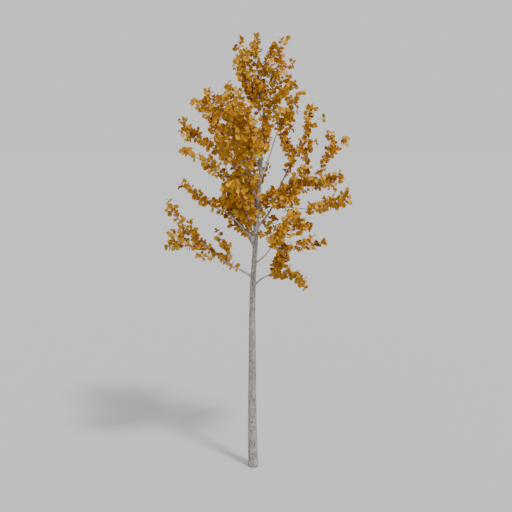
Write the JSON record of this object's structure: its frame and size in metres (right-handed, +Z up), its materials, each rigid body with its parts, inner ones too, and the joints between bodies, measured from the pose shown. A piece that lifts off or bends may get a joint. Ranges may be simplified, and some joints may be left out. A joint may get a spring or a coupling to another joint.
{
  "type": "linden sapling",
  "caption": "Young broad-leaved tree in autumn leaf: a slender grey trunk with a flared foot, bare lower stem, upswept boughs and an open crown of golden foliage masses.",
  "frame": {"origin": "middle of the flat cut under the trunk, at ground level", "axes": "+Z up along the trunk, +X to the right and -Y towards the viewer as the tree is seen from its front"},
  "size_m": [2.1842, 1.6461, 5.2727],
  "materials": {
    "bark": "light grey bark with fine upright fissures, matte",
    "leaf_gold": "golden yellow autumn leaves, satin",
    "leaf_amber": "amber autumn leaves, satin",
    "leaf_orange": "orange-brown autumn leaves, satin",
    "leaf_russet": "russet autumn leaves, satin",
    "leaf_green": "yellow-green autumn leaves, satin"
  },
  "bodies": {
    "root": {"trunk": "bark", "left_low_bough": "bark", "left_second_bough": "bark", "left_upright_bough": "bark", "left_inner_bough": "bark", "left_third_bough": "bark", "left_steep_bough": "bark", "left_fourth_bough": "bark", "left_upper_bough": "bark", "right_low_bough": "bark", "right_second_bough": "bark", "right_level_bough": "bark", "right_third_bough": "bark", "right_fork_bough": "bark", "right_long_bough": "bark", "right_drop_bough": "bark", "right_upper_bough": "bark", "right_top_bough": "bark", "front_high_bough": "bark", "front_left_bough": "bark", "front_right_bough": "bark", "back_first_bough": "bark", "back_low_bough": "bark", "back_left_bough": "bark", "top_right_bough": "bark", "top_left_bough": "bark", "left_high_bough": "bark", "right_twig_bough": "bark", "front_low_bough": "bark", "left_low_leaves": "leaf_gold", "left_second_leaves": "leaf_amber", "left_upright_leaves": "leaf_orange", "left_inner_leaves": "leaf_russet", "left_third_leaves": "leaf_green", "left_steep_leaves": "leaf_gold", "left_fourth_leaves": "leaf_amber", "left_upper_leaves": "leaf_orange", "right_low_leaves": "leaf_russet", "right_second_leaves": "leaf_green", "right_level_leaves": "leaf_gold", "right_third_leaves": "leaf_amber", "right_fork_leaves": "leaf_orange", "right_long_leaves": "leaf_russet", "right_drop_leaves": "leaf_green", "right_upper_leaves": "leaf_gold", "right_top_leaves": "leaf_amber", "front_high_leaves": "leaf_orange", "front_left_leaves": "leaf_russet", "front_right_leaves": "leaf_green", "back_first_leaves": "leaf_gold", "back_low_leaves": "leaf_amber", "back_left_leaves": "leaf_orange", "top_leader_leaves": "leaf_russet", "top_right_leaves": "leaf_green", "top_left_leaves": "leaf_gold", "left_high_leaves": "leaf_amber", "right_twig_leaves": "leaf_orange", "front_low_leaves": "leaf_russet"}
  },
  "joints": []
}
